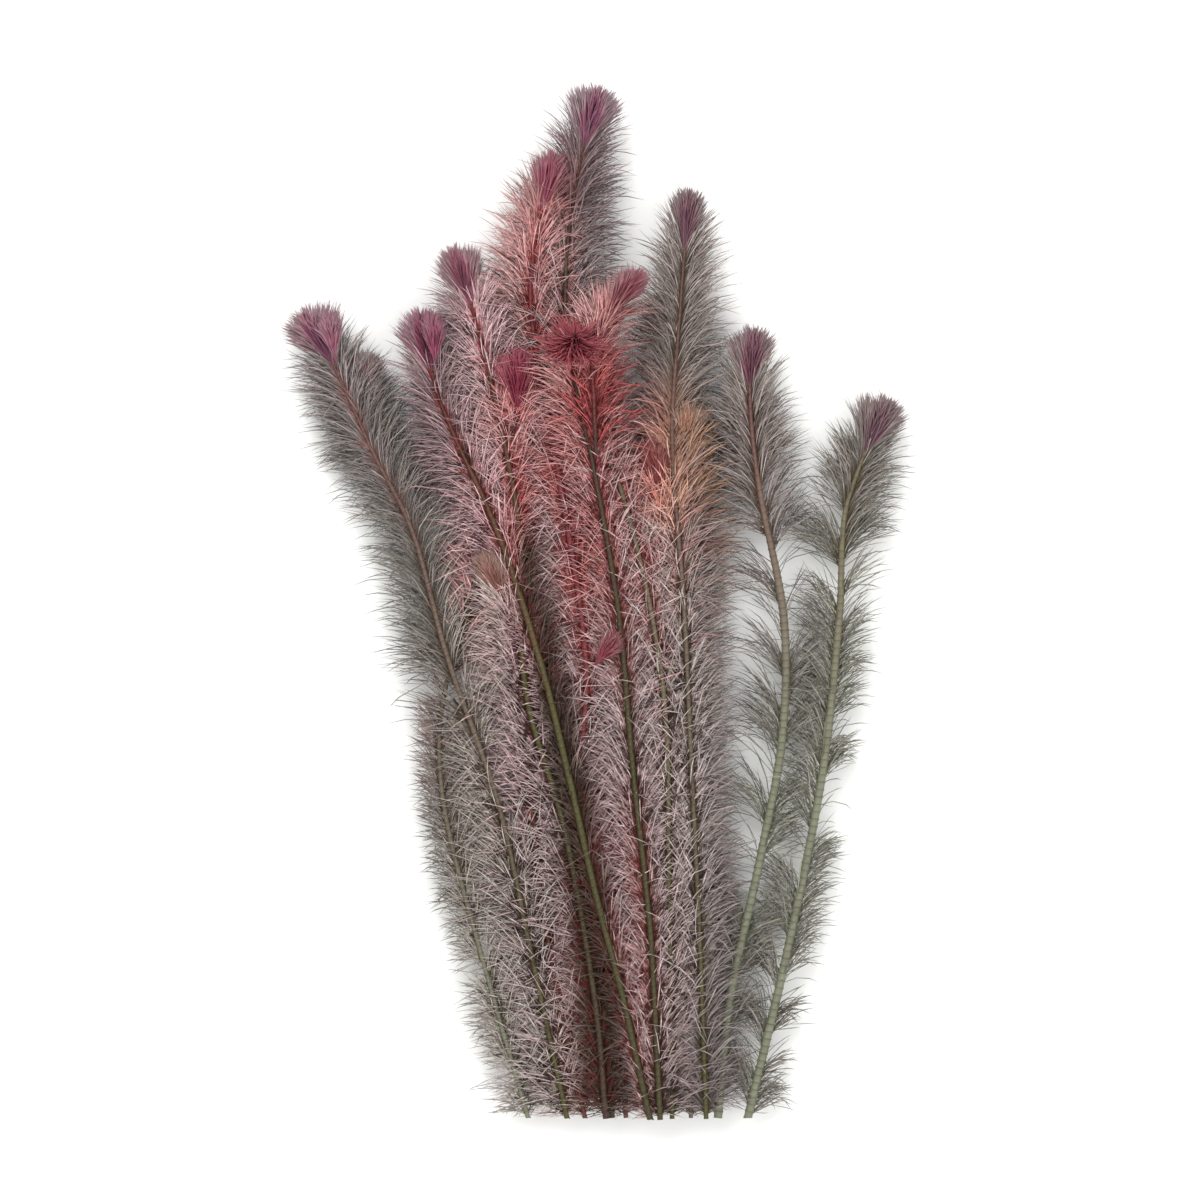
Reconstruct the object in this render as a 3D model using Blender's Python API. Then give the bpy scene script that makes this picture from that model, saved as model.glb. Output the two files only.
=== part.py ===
"""Rotala: a bunch of fine-leaved stems, cut straight across and laid on its side.

The bunch lies on the XY plane. +Y runs from the cut to the growing tips, +X is to the right
of someone who looks down at it with the cut nearest, and +Z is up. The origin is under the
middle of the bunch, on the surface that it lies on.
"""

import math
from collections import namedtuple

import bmesh
import bpy
import numpy as np

# Driving sizes, in millimetres and degrees
MM = 0.001
BOX_MIDDLE = np.array([-0.372, 103.978, 0.0])
LEAF_LENGTH = 16.0
YOUNG_LEAF_LENGTH = 12.5
LEAF_LEAN_LOW = 56.0
LEAF_LEAN_HIGH = 34.0
WHORL_STEP = 8.8
WHORL_HEIGHT = 1.8
FIRST_WHORL = 5.0
FIRST_WHORL_SHARE = 0.33
LAST_WHORL = 2.2
YOUNG_STRETCH = 40.0
TAPER = ((0.0, 0.7, 1.0), (1.0, 0.88, 0.0))
CROWN_LENGTH = 11.5
CROWN_GAP = 0.35
LEAF_GAP = 0.35
WELD = 0.01
TINY = 1e-9
RANDOM_SEED = 7

# How far below and above level the leaves of a stem and of a crown point. Out of the water the
# leaves that stood up have fallen to the sides.
LEAF_FALL = (-70.0, 20.0)
CROWN_FALL = (-60.0, 60.0)

# Lower down, the leaves on the bunch's outer sides are short: shares of a full leaf to the left
# and to the right, and the stretch of stem over which they grow to full length.
SHORT_SIDES = {
    "far_left": (0.9, 1.0),
    "rear_left": (0.45, 1.0),
    "right": (1.0, 0.75),
    "far_right": (0.9, 0.5),
}
SHORT_STRETCH = (88.0, 118.0)

# A crown's core: distance from its foot and radius. Leaves stand on the first and third spans.
CROWN_RINGS = ((0.0, 0.75), (1.8, 1.15), (5.0, 1.45), (6.8, 1.3), (CROWN_LENGTH, 0.3))
CROWN_TIERS = ((0, 11.5, 27.0), (2, 8.0, 14.0))

# A leaf is turned, tilted and at last shortened until it is clear of what is already there.
TURNS = (0.0, 10.0, -10.0, 20.0, -20.0)
TILTS = (0.0, -7.0, 7.0, -14.0, 14.0)
SHARES = (1.0, 0.85, 0.7, 0.5)
WHORL_TWIST = 15.0
LEAN_SPREAD = 4.0
SHORTEST_LEAF = 0.9
LEAF_ROUND = 1.0
NO_WHORL = -1
CROWN_WHORLS = 1000

# Colours as seen, red, green and blue of 255
MAUVE = (138, 108, 106)
PINK = (150, 100, 108)
CRIMSON = (140, 66, 68)
SAGE = (128, 124, 112)
MAGENTA = (138, 70, 98)
ROSE = (168, 96, 112)
DARK_RED = (104, 44, 56)
LEAF_ROUGHNESS = 0.6

Shoot = namedtuple("Shoot", "name colour crown_colour radii crown_size route")

# Each route is the shoot's middle line from its foot to the tip of its crown: to the right of
# the bunch's middle line, from the cut, and above the surface. Radii are at foot and crown.
# A crown's size is a share of CROWN_LENGTH.
SHOOTS = (
    Shoot("far_left", MAUVE, MAGENTA, (0.58, 0.3), 1.0, (
        (-6.6, 0, 8.2), (-12.6, 27.6, 8.2), (-20.6, 63.6, 8.6), (-30.6, 92.6, 9.8),
        (-37.6, 117.6, 8.8), (-45.6, 133.6, 8.6), (-54, 152, 8.8), (-59.4, 161, 9.4))),
    Shoot("rear_left", PINK, ROSE, (0.52, 0.3), 1.0, (
        (-14.4, 0, 7.2), (-24, 33.6, 7.4), (-31.4, 63.6, 7.6), (-31.4, 83.6, 7.6),
        (-24, 107.6, 7.4), (-17.8, 129.6, 7.6), (-16.4, 153.2, 10.6))),
    Shoot("second_left", MAUVE, DARK_RED, (0.7, 0.32), 1.0, (
        (10, 0, 10.8), (4.4, 25, 11), (-1, 45.6, 11.2), (-6, 67.6, 11.2), (-12, 91.6, 11.2),
        (-20.6, 117.6, 10.6), (-32, 143.6, 9.6), (-36, 161, 9.4))),
    Shoot("third_left", MAUVE, MAGENTA, (0.7, 0.32), 1.0, (
        (1.2, 0, 9), (-1, 23.6, 9), (-7, 57.6, 9.2), (-14.8, 85.6, 9.2), (-16, 115.6, 9.2),
        (-19.6, 137.6, 9.4), (-26, 163.6, 9.4), (-29.4, 173.6, 9.4))),
    Shoot("top_left", PINK, ROSE, (0.65, 0.3), 1.0, (
        (2.4, 0, 7.4), (0, 31.6, 7.4), (-3.8, 66.6, 8.4), (-2.8, 91.6, 9.6), (-8.4, 129.6, 9.4),
        (-13.8, 162, 9), (-12.6, 177, 9.4), (-9, 192.5, 10.4))),
    Shoot("top", MAUVE, MAGENTA, (0.52, 0.3), 1.0, (
        (14.4, 0, 9.4), (13.8, 43.6, 9.6), (12.6, 85.6, 10.4), (4.8, 123.6, 10.8),
        (-5.6, 149.6, 10.2), (-6.8, 169.6, 9.4), (-4.4, 188.6, 9.2), (-0.2, 205.6, 9.6))),
    Shoot("middle", PINK, DARK_RED, (0.6, 0.32), 1.0, (
        (12, 0, 11.4), (10, 37.6, 11.4), (6.8, 67.6, 11.6), (3.6, 101.6, 12), (-1.6, 131.6, 12.8),
        (-4.4, 143.6, 14), (-5.4, 152, 17), (-4.6, 157, 23))),
    Shoot("middle_side", CRIMSON, DARK_RED, (0.36, 0.28), 1.0, (
        (-0.8, 133.2, 14.4), (-1.2, 143, 16), (-1.4, 152, 16.8), (1, 159, 17),
        (8.4, 168.4, 16.4))),
    Shoot("rear_red", CRIMSON, ROSE, (0.52, 0.28), 1.0, (
        (5.2, 0, 7), (2.6, 33.6, 7.4), (6.6, 69.6, 8.4), (11.2, 100, 8.4), (13, 115, 8.6),
        (11.6, 127, 9.2), (9.2, 135, 10))),
    Shoot("right_of_middle", MAUVE, MAGENTA, (0.52, 0.3), 1.0, (
        (21.2, 0, 9.4), (20, 33.6, 9.6), (18.4, 67.6, 10), (16.8, 101.6, 10.2),
        (14.4, 135.6, 9.8), (16, 161.6, 9.2), (17.8, 185, 9.2))),
    Shoot("rear_orange", PINK, ROSE, (0.46, 0.28), 0.8, (
        (18.2, 0, 7.4), (17.6, 43.6, 7.6), (16.6, 83.6, 7.8), (16.6, 119.6, 7.8), (17, 133.6, 8),
        (17.4, 142.6, 8.6))),
    Shoot("right", SAGE, MAGENTA, (0.92, 0.42), 1.0, (
        (23.6, 0, 7.4), (26, 23.6, 7.4), (32, 51.6, 7.4), (36.4, 75.6, 7.4), (36.8, 99.6, 7.6),
        (31.6, 127.6, 8), (30, 145, 8.4), (31, 157.5, 9))),
    Shoot("far_right", SAGE, MAGENTA, (0.92, 0.42), 1.0, (
        (29.6, 0, 7.2), (38, 35.6, 7.2), (44.6, 69.6, 7.2), (48, 101.6, 7.2), (49, 120.6, 7.6),
        (53.6, 134.6, 8), (57.6, 143.4, 8.8))),
    Shoot("short_red", CRIMSON, ROSE, (0.52, 0.28), 0.9, (
        (-3, 0, 7.6), (-9.6, 30.6, 7.6), (-13.8, 63.6, 7.6), (-15.4, 88, 7.4), (-18, 101, 8.6),
        (-23.6, 112.4, 10.8))),
    Shoot("far_left_side", PINK, ROSE, (0.32, 0.27), 0.8, (
        (-46.6, 137.2, 6.4), (-47.4, 143, 6), (-47, 152.5, 6.4))),
)

# A bud is a short side shoot that is nothing but crown leaves.
BUDS = (
    Shoot("far_left", ROSE, ROSE, (0.4, 0.34), 0.8, (
        (-52.6, 151, 10.6), (-53.4, 155.4, 11.8), (-54.2, 160.2, 12.2))),
    Shoot("second_left", ROSE, ROSE, (0.4, 0.34), 0.8, (
        (-32.8, 150.6, 11.2), (-33, 155, 12.4), (-33.2, 159.8, 12.6))),
    Shoot("top_left", CRIMSON, CRIMSON, (0.4, 0.34), 0.6, (
        (-1.2, 90.6, 11.2), (0.8, 93, 11.8), (3.4, 96.4, 12))),
)

# A site is the face that a leaf grows from, with the way its stem runs there, the way out from
# the stem, the leaf's length and lean, how far it may fall, and its shares to left and right.
Site = namedtuple("Site", "piece shoot whorl face base heading outward length lean fall shares")


class Route:
    """A smooth line through hand-chosen points, read by the distance along it."""

    STEPS = 40
    REACH = 0.5

    def __init__(self, points):
        knots = np.array(points, dtype=float)
        ahead = np.vstack([knots[1:], 2 * knots[-1] - knots[-2]])
        behind = np.vstack([2 * knots[0] - knots[1], knots[:-1]])
        heading = ahead - behind
        heading /= np.linalg.norm(heading, axis=1)[:, None]
        t = np.linspace(0, 1, self.STEPS, endpoint=False)[:, None]
        spans = []
        for here, there, out, into in zip(knots, knots[1:], heading, heading[1:]):
            pull = np.linalg.norm(there - here)
            leave = (2 * t**3 - 3 * t**2 + 1) * here + (t**3 - 2 * t**2 + t) * pull * out
            arrive = (3 * t**2 - 2 * t**3) * there + (t**3 - t**2) * pull * into
            spans.append(leave + arrive)
        self.line = np.vstack(spans + [knots[-1:]]) - BOX_MIDDLE
        steps = np.linalg.norm(np.diff(self.line, axis=0), axis=1)
        self.so_far = np.concatenate([[0.0], np.cumsum(steps)])
        self.length = self.so_far[-1]

    def at(self, distance):
        return np.array([np.interp(distance, self.so_far, self.line[:, k]) for k in range(3)])

    def heading(self, distance):
        ahead = self.at(min(distance + self.REACH, self.length))
        behind = self.at(max(distance - self.REACH, 0.0))
        return (ahead - behind) / np.linalg.norm(ahead - behind)


class Thicket:
    """The tapered rods placed so far: stretches of stem, cores and leaves."""

    def __init__(self):
        self.start = np.empty((0, 3))
        self.end = np.empty((0, 3))
        self.radii = np.empty((0, 2))
        self.owner = np.empty((0, 2), dtype=int)

    def add(self, start, end, radii, shoot, whorl=NO_WHORL):
        self.start = np.vstack([self.start, start])
        self.end = np.vstack([self.end, end])
        self.radii = np.vstack([self.radii, radii])
        self.owner = np.vstack([self.owner, (shoot, whorl)])

    def gaps(self, site, tips, reach):
        """The least gap from a leaf on this site to any rod near it, for each place of its tip."""
        same_shoot = self.owner[:, 0] == site.shoot
        joined = same_shoot & np.isin(self.owner[:, 1], (NO_WHORL, site.whorl))
        middle = (self.start + self.end) / 2
        half = np.linalg.norm(self.end - self.start, axis=1) / 2
        near = np.linalg.norm(middle - site.base, axis=1) < reach + half
        kept = near & ~joined
        own = (tips - site.base)[:, None, :]
        other = (self.end - self.start)[kept][None]
        between = (site.base - self.start[kept])[None]
        a = (own * own).sum(-1)
        b = (own * other).sum(-1)
        c = (own * between).sum(-1)
        e = (other * other).sum(-1)
        f = (other * between).sum(-1)
        s = np.clip((b * f - c * e) / np.maximum(a * e - b * b, TINY), 0, 1)
        t = np.clip((b * s + f) / e, 0, 1)
        s = np.clip((b * t - c) / a, 0, 1)
        apart = np.linalg.norm(between + s[..., None] * own - t[..., None] * other, axis=-1)
        thick = self.radii[kept][None]
        taken = LEAF_ROUND * (1 - s) + thick[..., 0] * (1 - t) + thick[..., 1] * t
        return (apart - taken).min(axis=1, initial=reach)


def linear(colour):
    """A colour as seen, turned into the light values that a material takes."""
    shares = np.array(colour) / 255
    return (*np.where(shares <= 0.04045, shares / 12.92, ((shares + 0.055) / 1.055) ** 2.4), 1.0)


def make_material(name, colour):
    material = bpy.data.materials.new(name)
    material.use_nodes = True
    shader = material.node_tree.nodes["Principled BSDF"]
    shader.inputs["Base Color"].default_value = linear(colour)
    shader.inputs["Roughness"].default_value = LEAF_ROUGHNESS
    shader.inputs["Metallic"].default_value = 0.0
    return material


def make_tube(name, places, radii):
    """A six-sided closed tube through the places, its caps welded on, as an editable mesh."""
    curve = bpy.data.curves.new(name, "CURVE")
    curve.dimensions = "3D"
    curve.twist_mode = "Z_UP"
    curve.bevel_depth = MM
    curve.bevel_resolution = 1
    curve.use_fill_caps = True
    spline = curve.splines.new("POLY")
    spline.points.add(len(places) - 1)
    for point, place, radius in zip(spline.points, places, radii):
        point.co = (*(place * MM), 1.0)
        point.radius = radius
    guide = bpy.data.objects.new(name, curve)
    bpy.context.scene.collection.objects.link(guide)
    graph = bpy.context.evaluated_depsgraph_get()
    mesh = bpy.data.meshes.new_from_object(guide.evaluated_get(graph))
    bpy.data.objects.remove(guide)
    bpy.data.curves.remove(curve)
    tube = bmesh.new()
    tube.from_mesh(mesh)
    bpy.data.meshes.remove(mesh)
    bmesh.ops.remove_doubles(tube, verts=tube.verts, dist=WELD * MM)
    bmesh.ops.recalc_face_normals(tube, faces=tube.faces)
    return tube


def cut_square(tube, places):
    """Brings a stem's foot onto the straight cut, if it reaches it."""
    cut = -BOX_MIDDLE[1] * MM
    foot = places[0] * MM
    if foot[1] > cut + WHORL_HEIGHT * MM:
        return
    reach = np.linalg.norm(places[1] * MM - foot) / 2
    for vertex in tube.verts:
        if np.linalg.norm(np.array(vertex.co) - foot) < reach:
            vertex.co.y = cut


def find_sites(tube, owner, places, bands, leaf_at, heading_at):
    """The faces of each band of a tube, from which its leaves grow."""
    piece, shoot, first_whorl = owner
    rings = {}
    for vertex in tube.verts:
        away = np.linalg.norm(places * MM - np.array(vertex.co), axis=1)
        rings[vertex] = int(away.argmin())
    found = []
    for face in tube.faces:
        levels = {rings[vertex] for vertex in face.verts}
        band = min(levels)
        if band not in bands or levels != {band, band + 1}:
            continue
        heading = heading_at(band)
        outward = np.array(face.normal)
        outward -= heading * outward.dot(heading)
        outward /= np.linalg.norm(outward)
        base = np.array(face.calc_center_median()) / MM
        whorl = first_whorl + band
        found.append(Site(piece, shoot, whorl, face, base, heading, outward, *leaf_at(band)))
    return found


def settle(site, radial):
    """The way out from the stem once a leaf has fallen, and its share of a full length."""
    left = np.cross((0, 0, 1), site.heading)
    left /= np.linalg.norm(left)
    upward = np.cross(site.heading, left)
    grown = math.asin(np.clip(radial.dot(upward), -1, 1)) / math.pi + 0.5
    lowest, highest = site.fall
    rise = math.radians(lowest + (highest - lowest) * grown)
    side = math.copysign(1, radial.dot(left))
    share = site.shares[0] if side > 0 else site.shares[1]
    return left * side * math.cos(rise) + upward * math.sin(rise), share


def aim(site, twist, turn, tilt, share):
    """Where a leaf's tip lies. A leaf that would go below the surface is laid on it."""
    across = np.cross(site.heading, site.outward)
    round_stem = math.radians(twist + turn)
    radial = site.outward * math.cos(round_stem) + across * math.sin(round_stem)
    radial, side_share = settle(site, radial)
    lean = math.radians(site.lean + tilt)
    way = site.heading * math.cos(lean) + radial * math.sin(lean)
    length = site.length * share * side_share
    if site.base[2] + way[2] * length < 0:
        drop = -site.base[2] / length
        flat = math.hypot(way[0], way[1])
        way[:2] *= math.sqrt(1 - drop * drop) / flat
        way[2] = drop
    tip = site.base + way * length
    tip[2] = max(tip[2], 0.0)
    return tip


def grow_leaf(site, thicket, dice):
    """The first place of a leaf's tip that keeps clear of everything, or None."""
    every_second_whorl = (site.whorl // 2) % 2
    twist = WHORL_TWIST if every_second_whorl else -WHORL_TWIST
    spread = dice.uniform(-LEAN_SPREAD, LEAN_SPREAD)
    full = dice.uniform(SHORTEST_LEAF, 1)
    for share in SHARES:
        tries = [(twist, turn, tilt + spread, share * full) for turn in TURNS for tilt in TILTS]
        tips = np.array([aim(site, *one) for one in tries])
        free = np.flatnonzero(thicket.gaps(site, tips, site.length) > LEAF_GAP)
        if len(free):
            return tips[free[0]]
    return None


def make_stem(shoot, owner, thicket, dice):
    """The tube of a stem, with a low band at each whorl, and the sites on its bands."""
    route = Route(shoot.route)
    top = route.length - CROWN_LENGTH * shoot.crown_size - CROWN_GAP
    count = max(1, round((top - FIRST_WHORL - LAST_WHORL) / WHORL_STEP))
    first = min(FIRST_WHORL + dice.uniform(0, WHORL_STEP / 2), top * FIRST_WHORL_SHARE)
    middles = np.linspace(first, top - LAST_WHORL, count + 1)
    half = WHORL_HEIGHT / 2
    stations = [0.0]
    for middle in middles:
        stations += [middle - half, middle + half]
    stations.append(top)
    places = np.array([route.at(station) for station in stations])
    foot_radius, crown_radius = shoot.radii
    radii = crown_radius + (foot_radius - crown_radius) * np.interp(np.array(stations) / top, *TAPER)
    for start, end, ends in zip(places, places[1:], zip(radii, radii[1:])):
        thicket.add(start, end, ends, owner[1])

    def leaf_at(band):
        age = min((top - stations[band]) / YOUNG_STRETCH, 1)
        length = YOUNG_LEAF_LENGTH + (LEAF_LENGTH - YOUNG_LEAF_LENGTH) * age
        lean = LEAF_LEAN_HIGH + (LEAF_LEAN_LOW - LEAF_LEAN_HIGH) * age
        grown = np.interp(stations[band], SHORT_STRETCH, (0, 1))
        shares = [share + (1 - share) * grown for share in SHORT_SIDES.get(shoot.name, (1, 1))]
        return length, lean, LEAF_FALL, shares

    def heading_at(band):
        return route.heading(stations[band] + half)

    tube = make_tube("stem_" + shoot.name, places, radii)
    cut_square(tube, places)
    bands = range(1, len(stations) - 1, 2)
    return tube, find_sites(tube, owner, places, bands, leaf_at, heading_at)


def make_crown(name, shoot, owner, thicket):
    """The bud-like core at a shoot's tip, and the sites of its two tiers of young leaves."""
    route = Route(shoot.route)
    scale = shoot.crown_size
    foot = route.length - CROWN_LENGTH * scale
    stations = [foot + distance * scale for distance, radius in CROWN_RINGS]
    radii = [radius * scale for distance, radius in CROWN_RINGS]
    places = np.array([route.at(station) for station in stations])
    for start, end, ends in zip(places, places[1:], zip(radii, radii[1:])):
        thicket.add(start, end, ends, owner[1])
    tiers = {band: (length * scale, lean, CROWN_FALL, (1, 1)) for band, length, lean in CROWN_TIERS}

    def heading_at(band):
        return route.heading((stations[band] + stations[band + 1]) / 2)

    tube = make_tube(name, places, radii)
    return tube, find_sites(tube, owner, places, tiers, tiers.get, heading_at)


def finish_piece(name, tube, colour, collection):
    """Turns the edited mesh into the named object that it makes."""
    mesh = bpy.data.meshes.new(name)
    tube.to_mesh(mesh)
    tube.free()
    mesh.materials.append(make_material(name, colour))
    piece = bpy.data.objects.new(name, mesh)
    collection.objects.link(piece)


def main():
    for old in list(bpy.data.objects):
        bpy.data.objects.remove(old)
    collection = bpy.data.collections.new("rotala")
    bpy.context.scene.collection.children.link(collection)

    thicket = Thicket()
    dice = np.random.default_rng(RANDOM_SEED)
    pieces = []
    sites = []
    crowns = [("crown_" + shoot.name, shoot) for shoot in SHOOTS]
    crowns += [("bud_" + shoot.name, shoot) for shoot in BUDS]
    for number, (name, shoot) in enumerate(crowns):
        owner = (len(pieces), number, CROWN_WHORLS)
        tube, found = make_crown(name, shoot, owner, thicket)
        pieces.append((name, tube, shoot.crown_colour))
        sites += found
    crown_sites = len(sites)
    for number, shoot in enumerate(SHOOTS):
        tube, found = make_stem(shoot, (len(pieces), number, 0), thicket, dice)
        pieces.append(("stem_" + shoot.name, tube, shoot.colour))
        sites += found

    order = sites[:crown_sites] + sorted(sites[crown_sites:], key=lambda site: site.base[1])
    for site in order:
        tip = grow_leaf(site, thicket, dice)
        if tip is None:
            continue
        made = bmesh.ops.poke(pieces[site.piece][1], faces=[site.face])
        made["verts"][0].co = tip * MM
        thicket.add(site.base, tip, (LEAF_ROUND, 0.0), site.shoot, site.whorl)

    for name, tube, colour in pieces:
        finish_piece(name, tube, colour, collection)


main()
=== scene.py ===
import math
from collections import namedtuple

import bpy
import numpy as np
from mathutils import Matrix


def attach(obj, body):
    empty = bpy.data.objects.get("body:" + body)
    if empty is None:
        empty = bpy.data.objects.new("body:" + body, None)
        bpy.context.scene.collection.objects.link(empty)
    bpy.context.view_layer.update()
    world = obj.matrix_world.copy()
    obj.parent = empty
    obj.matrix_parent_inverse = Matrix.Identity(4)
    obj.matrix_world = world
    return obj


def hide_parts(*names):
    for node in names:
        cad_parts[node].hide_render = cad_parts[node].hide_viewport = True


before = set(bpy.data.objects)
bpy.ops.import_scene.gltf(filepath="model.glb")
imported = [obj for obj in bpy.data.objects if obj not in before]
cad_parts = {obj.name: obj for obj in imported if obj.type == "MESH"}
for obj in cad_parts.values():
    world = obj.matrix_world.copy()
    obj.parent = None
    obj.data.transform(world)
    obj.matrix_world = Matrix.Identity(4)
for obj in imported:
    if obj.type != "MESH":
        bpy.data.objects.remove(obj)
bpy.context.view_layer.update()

mm = 0.001


# The camera. It stands straight over the bunch, far enough away that stems at different heights
# keep one scale, and its frame is 240 mm wide at the middle of the plumes.
frame_width = 240.0 * mm
frame_middle = (0.37 * mm, -0.36 * mm)
plume_height = 8.0 * mm
camera_distance = 1.1
sensor_width = 36.0

bpy.ops.object.select_all(action="DESELECT")
bpy.ops.object.camera_add(location=(*frame_middle, plume_height + camera_distance), rotation=(0, 0, 0))
camera = bpy.context.object
camera.name = "camera"
camera.data.sensor_width = sensor_width
camera.data.lens = sensor_width * camera_distance / frame_width
bpy.context.scene.camera = camera


# The board that the bunch lies on: plain and pale, with a faint mottle, and matt. It is the
# first thing with a finish, so what every finish is made with stands here too.
class Wire:
    """A shader socket whose arithmetic adds Math nodes."""

    def __init__(self, finish, socket):
        self.finish = finish
        self.socket = socket

    def math(self, operation, first, second):
        return self.finish.add("ShaderNodeMath", {"operation": operation}, {0: first, 1: second})

    def __add__(self, other):
        return self.math("ADD", self, other)

    def __radd__(self, other):
        return self.math("ADD", other, self)

    def __sub__(self, other):
        return self.math("SUBTRACT", self, other)

    def __rsub__(self, other):
        return self.math("SUBTRACT", other, self)

    def __mul__(self, other):
        return self.math("MULTIPLY", self, other)

    def __rmul__(self, other):
        return self.math("MULTIPLY", other, self)

    def held(self):
        """The same value kept between 0 and 1."""
        settings = {"operation": "ADD", "use_clamp": True}
        return self.finish.add("ShaderNodeMath", settings, {0: self, 1: 0.0})


class Finish:
    """A material with one Principled shader, whose constants are set on its own sockets."""

    def __init__(self, name, **constants):
        self.material = bpy.data.materials.new(name)
        self.material.use_nodes = True
        self.tree = self.material.node_tree
        self.shader = self.tree.nodes["Principled BSDF"]
        for socket, value in constants.items():
            self.shader.inputs[socket.replace("_", " ")].default_value = value

    def join(self, value, socket):
        if isinstance(value, Wire):
            self.tree.links.new(value.socket, socket)
        else:
            socket.default_value = value

    def add(self, kind, settings, inputs, output=0):
        node = self.tree.nodes.new(kind)
        for key, value in settings.items():
            if key == "stops":
                ramp = node.color_ramp
                while len(ramp.elements) < len(value):
                    ramp.elements.new(1.0)
                for element, (place, colour) in zip(ramp.elements, value):
                    element.position = place
                    element.color = colour
            else:
                setattr(node, key, value)
        for key, value in inputs.items():
            self.join(value, node.inputs[key])
        return Wire(self, node.outputs[output])

    def attribute(self, name):
        return self.add("ShaderNodeAttribute", {"attribute_name": name}, {}, "Fac")

    def mix(self, share, first, second, way="MIX"):
        settings = {"data_type": "RGBA", "blend_type": way}
        return self.add("ShaderNodeMix", settings, {0: share, 6: first, 7: second}, 2)

    def noise(self, scale, detail=2.0):
        place = self.add("ShaderNodeTexCoord", {}, {}, "Object")
        return self.add("ShaderNodeTexNoise", {}, {"Vector": place, "Scale": scale, "Detail": detail})

    def ramp(self, share, places, colours):
        stops = [(place, paint(*colour)) for place, colour in zip(places, colours)]
        return self.add("ShaderNodeValToRGB", {"stops": stops}, {0: share})

    def bump(self, height, strength, distance):
        inputs = {"Height": height, "Strength": strength, "Distance": distance}
        return self.add("ShaderNodeBump", {}, inputs)

    def done(self, **links):
        for socket, wire in links.items():
            self.join(wire, self.shader.inputs[socket.replace("_", " ")])
        return self.material


def paint(red, green, blue):
    """A colour as the eye reads it, of 255, as the light values that a shader takes."""
    shares = np.array((red, green, blue)) / 255
    light = np.where(shares <= 0.04045, shares / 12.92, ((shares + 0.055) / 1.055) ** 2.4)
    return (*light, 1.0)


board_side = 3.0
board_colours = ((234, 234, 232), (242, 242, 240))
board_mottle = 60.0

bpy.ops.mesh.primitive_plane_add(size=board_side, location=(0, 0, 0))
board = bpy.context.object
board.name = "board"
card = Finish("pale_board", Roughness=0.85)
mottled = card.ramp(card.noise(board_mottle), (0.0, 1.0), board_colours)
board.data.materials.append(card.done(Base_Color=mottled))


# The studio lights: a large soft panel beyond the tips, a weaker one beside the cut, and a
# white room around them. A panel has its name, place, side in metres and power in watts.
panels = (
    ("key_light", (-0.35, 0.75, 1.1), 0.9, 12.5),
    ("fill_light", (0.7, -0.5, 1.1), 1.2, 8.0),
)
room_light = 1.0

for name, place, side, power in panels:
    bpy.ops.object.light_add(type="AREA", location=place)
    panel = bpy.context.object
    panel.name = name
    panel.data.size = side
    panel.data.energy = power
    slope = math.atan2(math.hypot(place[0], place[1]), place[2])
    panel.rotation_euler = (slope, 0, math.atan2(place[0], -place[1]))
world = bpy.data.worlds.new("studio")
world.use_nodes = True
world.node_tree.nodes["Background"].inputs["Color"].default_value = paint(255, 255, 255)
world.node_tree.nodes["Background"].inputs["Strength"].default_value = room_light
bpy.context.scene.world = world
bpy.context.scene.view_settings.view_transform = "Standard"


# The stalks: thin round stems of soft green to red tissue, in short lengths between swollen dark
# nodes. Each has grown along one smooth line. Two have grown from a fork, and all the others were
# cut straight across together.
whorl_step = 1.5 * mm
length_levels = ((0.0, 1.0), (0.3, 0.95), (0.72, 0.97))
knot_level, knot_spread = 0.88, 0.1
stalk_sides = 10
weld_distance = 0.02 * mm
smooth_angle = 50.0

# In millimetres: how far a node stands out, how thin a stalk ends and how far below its shoot's
# tip, and how long a full-sized crown is. The taper gives shares of the way to the crown, and how
# much of the extra radius of the foot is left there.
node_bump = 0.1
tip_radius, tip_gap = 0.12, 1.2
crown_length = 11.5
taper = ((0.0, 0.7, 1.0), (1.0, 0.88, 0.0))

# Colours of stalks, as the eye reads them, of 255, and how the skin changes them.
olive = (64, 58, 26)
moss = (72, 70, 30)
brown = (62, 42, 28)
rust = (92, 46, 34)
salmon = (104, 72, 66)
tan = (100, 88, 74)
pale_green = (118, 122, 102)
straw = (108, 100, 78)
red_stem = (116, 44, 48)
stalk_places = (0.05, 0.5, 0.95)
patch_tint, patch_scale, patch_detail, patch_share = (176, 160, 146), 260.0, 3.0, 0.7
ring_tint, ring_scale, ring_share = (120, 92, 80), 700.0, 0.9
grain_scale, grain_strength, grain_depth = 1500.0, 0.3, 0.1 * mm
plant_roughness, plant_specular = 0.5, 0.35

# A shoot's line is a row of points, in millimetres to the right of the middle, from the cut and
# above the board. The origin, under the middle of the bunch's box, is at box_middle among them. A
# shoot also has the radii, in millimetres, of its foot and under its crown, its crown's size as a
# share of a full one, and its stalk's colours from foot to crown.
box_middle = np.array([-0.372, 103.978, 0.0])
cut_line = -box_middle[1] * mm

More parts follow.
